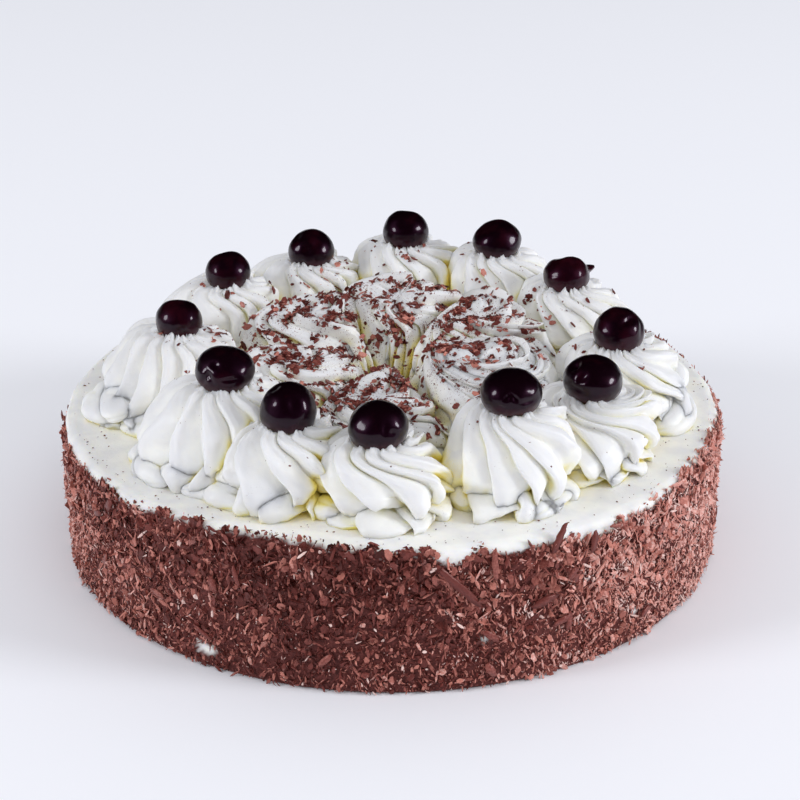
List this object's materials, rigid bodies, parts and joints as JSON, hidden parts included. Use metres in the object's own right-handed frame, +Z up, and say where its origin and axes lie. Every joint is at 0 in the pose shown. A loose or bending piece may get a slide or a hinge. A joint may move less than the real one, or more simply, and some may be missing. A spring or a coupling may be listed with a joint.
{
  "type": "black forest cake",
  "caption": "Round uncut black forest cake: cream coat, shaved chocolate side, a ring of piped rosettes topped with dark cherries, and sprinkled inner swirls.",
  "frame": {"origin": "centre of the cake's underside, on the surface it stands on", "axes": "+Z up through the middle of the cake; +X to the right and -Y towards a viewer at the front"},
  "size_m": [0.26, 0.26, 0.1034],
  "materials": {
    "cake_coat": "smooth whipped cream coat, spread flat on top and rounded at the rim",
    "whipped_cream": "piped whipped cream, softly glossy, pale yellow in its folds",
    "cherry_skin": "wet, glossy, near-black maroon fruit skin",
    "shaved_chocolate": "dry milk chocolate shavings, matte with pale broken edges"
  },
  "bodies": {
    "root": {"cake_body": "cake_coat", "rosette_01": "whipped_cream", "rosette_02": "whipped_cream", "rosette_03": "whipped_cream", "rosette_04": "whipped_cream", "rosette_05": "whipped_cream", "rosette_06": "whipped_cream", "rosette_07": "whipped_cream", "rosette_08": "whipped_cream", "rosette_09": "whipped_cream", "rosette_10": "whipped_cream", "rosette_11": "whipped_cream", "rosette_12": "whipped_cream", "inner_swirl_01": "whipped_cream", "inner_swirl_02": "whipped_cream", "inner_swirl_03": "whipped_cream", "inner_swirl_04": "whipped_cream", "inner_swirl_05": "whipped_cream", "inner_swirl_06": "whipped_cream", "cherry_01": "cherry_skin", "cherry_02": "cherry_skin", "cherry_03": "cherry_skin", "cherry_04": "cherry_skin", "cherry_05": "cherry_skin", "cherry_06": "cherry_skin", "cherry_07": "cherry_skin", "cherry_08": "cherry_skin", "cherry_09": "cherry_skin", "cherry_10": "cherry_skin", "cherry_11": "cherry_skin", "cherry_12": "cherry_skin"}
  },
  "joints": []
}
